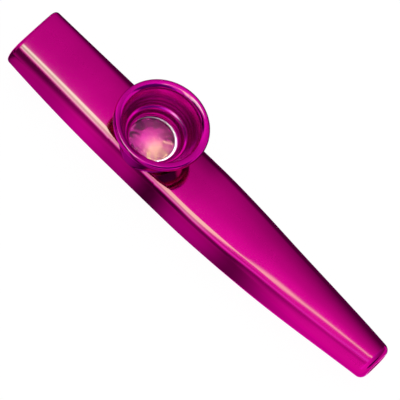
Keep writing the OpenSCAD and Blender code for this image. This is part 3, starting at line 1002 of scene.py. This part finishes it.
def glow_sheet(name, points, light, lights=None):
    """A grid of points with a glow at each, seen by reflections only. One number is a white glow. With a
    list of pieces the sheet is clear: it adds its glow to what is behind it, for those pieces alone."""
    rows, columns = points.shape[:2]
    light = np.broadcast_to(light if light.ndim == 3 else light[..., None], points.shape).reshape(-1, 3)
    mesh = bpy.data.meshes.new(name)
    mesh.from_pydata((points.reshape(-1, 3) * MM).tolist(), [], grid_faces(rows, columns).tolist())
    glow = mesh.color_attributes.new("glow", "FLOAT_COLOR", "POINT")
    colours = np.concatenate([light, np.ones((len(light), 1))], axis=1)
    glow.data.foreach_set("color", colours.astype(np.float32).ravel())
    cloth = bpy.data.objects.new(name, mesh)
    bpy.context.scene.collection.objects.link(cloth)
    material, tree = new_material(name)
    colour = add(tree, "ShaderNodeAttribute", attribute_name="glow").outputs["Color"]
    shader = add(tree, "ShaderNodeEmission", {"Color": colour, "Strength": 1.0})
    if lights:
        through = add(tree, "ShaderNodeBsdfTransparent").outputs[0]
        shader = add(tree, "ShaderNodeAddShader", {0: shader.outputs[0], 1: through})
        lit = bpy.data.collections.new(name + "_lights")
        for piece in lights:
            lit.objects.link(piece)
        cloth.light_linking.receiver_collection = lit
    to_output(tree, shader)
    mesh.materials.append(material)
    cloth.visible_camera = cloth.visible_diffuse = cloth.visible_shadow = cloth.visible_transmission = False
    print(name, rows, "by", columns, "points, brightest", np.round(light.max(axis=0), 2).tolist())


def hang(name, light, inset, places, turns, lights=None):
    """Hangs a sheet in a half round over the kazoo, this far inside the cloth. A point is its place along x,
    and a turn in degrees off straight up, towards -Y. Its glow is the given function of both."""
    place, turn = np.meshgrid(places, turns, indexing="ij")
    radius, angle = tunnel_radius - inset, np.radians(turn)
    points = np.stack([place, -radius * np.sin(angle), radius * np.cos(angle)], axis=2)
    glow_sheet(name, points, light(place, turn), lights)


# %% [markdown]
# ## Where the light lies
# Each glow is a sum of soft shades, and two helpers draw them all: one rises from a start
# over a span, the other is a bump round a centre. In the formulas below a place is in
# millimetres along the kazoo and a turn is in degrees, so every shade says where it
# starts and how far it reaches. The numbers were found by following reflections back from
# the camera, which tells what part of the cloth each part of the metal shows.

# %% Where the strips and shades lie
far_dark = 0.12


def rise(x, start, span):
    """Zero up to the start, and smoothly up to one a span further on. A span below zero runs backwards."""
    return smooth((x - start) / span)


def near_to(x, centre, reach):
    """One at the centre, falling smoothly to nothing at the reach."""
    return 1 - smooth(np.abs(x - centre) / reach)


def first_strip(place):
    """Middle and half width, in degrees, of the strip behind the first glint."""
    middle = blend(-7, 15, rise(place, -100, 75)) - 12 * rise(place, -5, 15) - 7 * rise(place, 25, 25)
    half = blend(9, 16, rise(place, -100, 60)) - 12 * rise(place, -8, 20)
    return middle + 2.5 * near_to(place, 20, 8), half


def second_strip(place):
    """Middle, in degrees, of the strip behind the second glint."""
    return 15 + 30 * rise(place, -108, 65) + 6 * rise(place, -36, 25) - 34 * rise(place, 6, 46)


def side_level(x):
    """How light the kazoo's near side looks at a place along the body: dark below the cup and where the
    taper starts, lighter towards the outlet."""
    shade = 0.54 * near_to(x, -11, 10) + 0.42 * near_to(x, 17, 13)
    return 0.62 + 0.28 * near_to(x, -35, 12) - shade + 0.45 * rise(x, 18, 24) + 0.10 * rise(x, 45, 15)


# %% Half round of cloth
def far_light(place, turn):
    """The far half: dark at the horizon and brighter overhead, with two shades beside the cup."""
    early = 28 * rise(place, -70, -30)
    light = far_dark + 0.55 * rise(turn, -80 - early, 50) + 0.25 * rise(turn, -45, 30)
    light = light + 0.35 * rise(turn, -25, 22)
    beside_cup = smooth((24 - np.abs(place + 51)) / 10) * (1 - rise(turn, -48, 15))
    return light * (1 - 0.38 * beside_cup) * (1 - 0.28 * near_to(place, -38, 8) * rise(turn, -6, -8))


def near_light(place, turn):
    """The near half: bright overhead, then a dark band, then the level that the near side shows."""
    strip = second_strip(place)
    body_x = place + 39 * (1 - rise(place, -65, 85)) - 4 * rise(place, 5, 20)
    body_x = body_x - 0.55 * np.maximum(place - 50, 0)
    level = side_level(body_x)
    late = rise(body_x, 26, 26)
    band_level = 0.42 * level + 0.25 * rise(body_x, 15, 25) - 0.13 * (1 - rise(body_x, -56, 18))
    fall = 1 - rise(turn, strip + 2, 19)
    lift = rise(turn, 55 + 20 * rise(strip, 38, 12) - 25 * late, 43 - 18 * late)
    light = band_level + (1.27 - 0.07 * late - band_level) * fall + (level - band_level) * lift
    between = 0.35 * first_strip(place)[0] + 0.65 * strip
    gap = 0.05 + 0.20 * (1 - rise(place, -98, 10)) + 0.30 * near_to(place, 10, 25)
    light = light * (1 - gap * near_to(turn, between, 10))
    return light * (1 - 0.93 * rise(place, -145, -50) * rise(turn, 4, 16))


def cloth_light(place, turn):
    """Both halves, fading beyond the outlet to a dim blue."""
    past_outlet = rise(place, 80, 50)
    value = np.where(turn < 0, far_light(place, turn), near_light(place, turn)) * (1 - 0.9 * past_outlet)
    return np.stack([value, value, value * (1 + past_outlet)], axis=-1)


cloth_places = np.concatenate([np.linspace(-700, -140, 8), np.linspace(-132, 104, 80),
                               np.linspace(112, 700, 8)])
hang("studio_cloth", cloth_light, inset=0, places=cloth_places, turns=np.linspace(-90, 90, 91))

# %% [markdown]
# ## Clear sheets
# The body and the cup need different surroundings at the same place, as when a card is
# held up for one part of a picture. A clear sheet adds its glow to what is behind it, and
# Blender's light linking keeps that glow to the pieces it is meant for. Two sheets here
# are for the body and two for the cup.

# %% Cloth beyond the ends
def outlet_light(place, turn):
    """Light beyond the outlet, growing from the far side to the near one, for the body's lip."""
    return (0.32 + 0.80 * rise(turn, -60, 110)) * rise(place, 78, 45)


def mouth_light(place, turn):
    """Light past the mouth end on the near side, which the body shows from other sides."""
    return 0.6 * rise(place, -160, -70) * rise(turn, 0, 20) * rise(turn, 70, -16)


def cup_light(place, turn):
    """Light low beside the mouth end, which the cup's outside shows."""
    return 0.9 * near_to(place, -320, 200) * rise(turn, 44, 14)


def rim_light(place, turn):
    """Light beyond the outlet on the far side, which the right side of the rim shows."""
    return 0.95 * rise(place, 84, 40) * rise(turn, -22, -12) * rise(turn, -90, 10)


outlet_places = np.concatenate([np.linspace(72, 130, 30), np.linspace(140, 600, 12)])
rim_places = np.concatenate([np.linspace(84, 140, 20), np.linspace(150, 900, 30)])
hang("studio_end_cloth", outlet_light, 5, outlet_places, np.linspace(-90, 90, 61), body_pieces)
hang("studio_mouth_cloth", mouth_light, 9, np.linspace(-620, -150, 48), np.linspace(0, 72, 37), body_pieces)
hang("studio_cup_cloth", cup_light, 7, np.linspace(-520, -120, 41), np.linspace(44, 90, 24), cup_pieces)
hang("studio_rim_cloth", rim_light, 11, rim_places, np.linspace(-90, -20, 36), [cup_piece])

# %% [markdown]
# ## Strips
# The two long glints on the body are cream, though the dye is crimson. The dye swallows
# green, so a white strip would give a red glint. These strips are mostly green instead,
# and just enough of it comes back to turn the glint cream. The cup has strips of its own.

# %% Strips for the glints
def strip_light(place, turn):
    """Two soft-edged strips with a faint veil between, stronger by the mouth and dimmed behind the cup."""
    middle, half = first_strip(place)
    second = second_strip(place)
    mouth_side = 1 - rise(place, -70, 16)
    behind_cup = 1 - 0.75 * near_to(place, -45, 8) * (1 - rise(turn, 15, 20))
    veil = rise(turn, middle - half - 0.5, 6) * rise(turn, second + 9, -9) * behind_cup
    veil = veil * (0.002 + 0.22 * mouth_side + 0.14 * (1 - rise(place, -14, 16)))
    first = smooth((half + 1 - np.abs(turn - middle)) / 5) * behind_cup
    low = smooth((8.5 - np.abs(turn - second)) / 7)
    red = 0.50 * first + low * (0.10 + 0.35 * mouth_side)
    green = 225 * first + 620 * veil + low * (9 + 37 * mouth_side)
    blue = (0.6 + 0.5 * mouth_side) * first + veil + low * (0.55 + 0.3 * mouth_side)
    ends = rise(place, -135, 20) * rise(place, 100, -20)
    return np.stack([red, green, blue], axis=-1) * ends[..., None]


cup_strip_shares, cup_strip_turn = np.array([1.6, 0.75, 1.1]), 10


def cup_strip_light(place, turn):
    """The same strips for the cup, a little further over and in a warmer mix."""
    return cup_strip_shares * strip_light(place, turn - cup_strip_turn)


strip_places = np.linspace(-136, 104, 121)
strip_turns = np.linspace(-30, 85, 116)
hang("studio_strips", strip_light, 10, strip_places, strip_turns, body_pieces)
hang("studio_cup_strips", cup_strip_light, 12, strip_places, strip_turns, cup_pieces)

# %% [markdown]
# ## Cards
# The kazoo's upright sides show the paper beside it, so cards on the paper carry the
# shades of the near side and keep the far side dark. The film and its hoop lie level and
# each show one small patch of what is above them, which two clear cards fill: a rosy one
# with an amber heart for the film, and a white one that gives the hoop its pale crescent.

# %% Cards on the paper
def near_card_light(x, y):
    """The near side's shades, which lean towards the mouth end further out, and hardly any light past it."""
    away = np.abs(y)
    leaning = x + 0.12 * (away - 9) * (1 - rise(x, -10, 20))
    level = side_level(leaning) * (0.85 + 0.15 * rise(away, 10, 2.5)) * (1 - 0.12 * near_to(x, 25, 14))
    return level * (0.15 + 0.85 * rise(leaning, mouth_x - 1, 2.5))


def far_card_light(x, y):
    """Dark beside the body and light past its ends, at any distance."""
    return far_dark + 0.7 * rise(x, mouth_x - 10, -20) + 0.75 * rise(x, outlet_x, 6)


card_height, card_gap = 0.4, 8.5
near_distances = -blend(card_gap, tunnel_radius, np.linspace(0, 1, 40) ** 3)
far_distances = np.array([card_gap, 40.0, tunnel_radius])
for name, light, distances in (("studio_near_card", near_card_light, near_distances),
                               ("studio_far_card", far_card_light, far_distances)):
    x, y = np.meshgrid(np.linspace(-140, 140, 141), distances, indexing="ij")
    glow_sheet(name, np.stack([x, y, card_height + 0 * x], axis=2), light(x, y))

# %% Cards for the film and its hoop
rosy_glow, amber_glow = np.array([60.0, 1.4, 30.0]), np.array([64.0, 60.0, 17.0])
hoop_glow = 24.0
slide_x, slide_y = -0.122, 0.519  # what a card moves by for each millimetre it hangs higher, to stay mirrored
across, upwards = np.meshgrid(np.linspace(-11, 11, 23), np.linspace(-8, 8, 17), indexing="ij")


def oval(centre, reach):
    """One in the middle of an oval on the card, falling smoothly to nothing at its edge."""
    return 1 - smooth(np.hypot((across - centre[0]) / reach[0], (upwards - centre[1]) / reach[1]))


def overhead_card(name, height, scale, light, piece):
    """A clear card where a level mirror at the film's middle shows the camera this height."""
    rising = height - film_top
    x = cup_x - hoop_offset + slide_x * rising + scale[0] * across
    y = slide_y * rising + scale[1] * upwards
    glow_sheet(name, np.stack([x, y, height + 0 * across], axis=2), light, [piece])


amber_share = oval((3.4, -1.2), (5.8, 3.4))[..., None]
film_glow = blend(rosy_glow, amber_glow, amber_share) * oval((1.0, -0.9), (9.6, 6.4))[..., None]
overhead_card("studio_film_card", height=35.0, scale=(0.72, 0.72), light=film_glow, piece=film_piece)
overhead_card("studio_hoop_card", height=80.0, scale=(4.0, 5.0), light=np.full(across.shape, hoop_glow),
              piece=hoop_piece)

# %% [markdown]
# ## Finish
# The colours are shown as they are written, so the view transform is Standard.

# %% Finish
bpy.context.scene.view_settings.view_transform = "Standard"
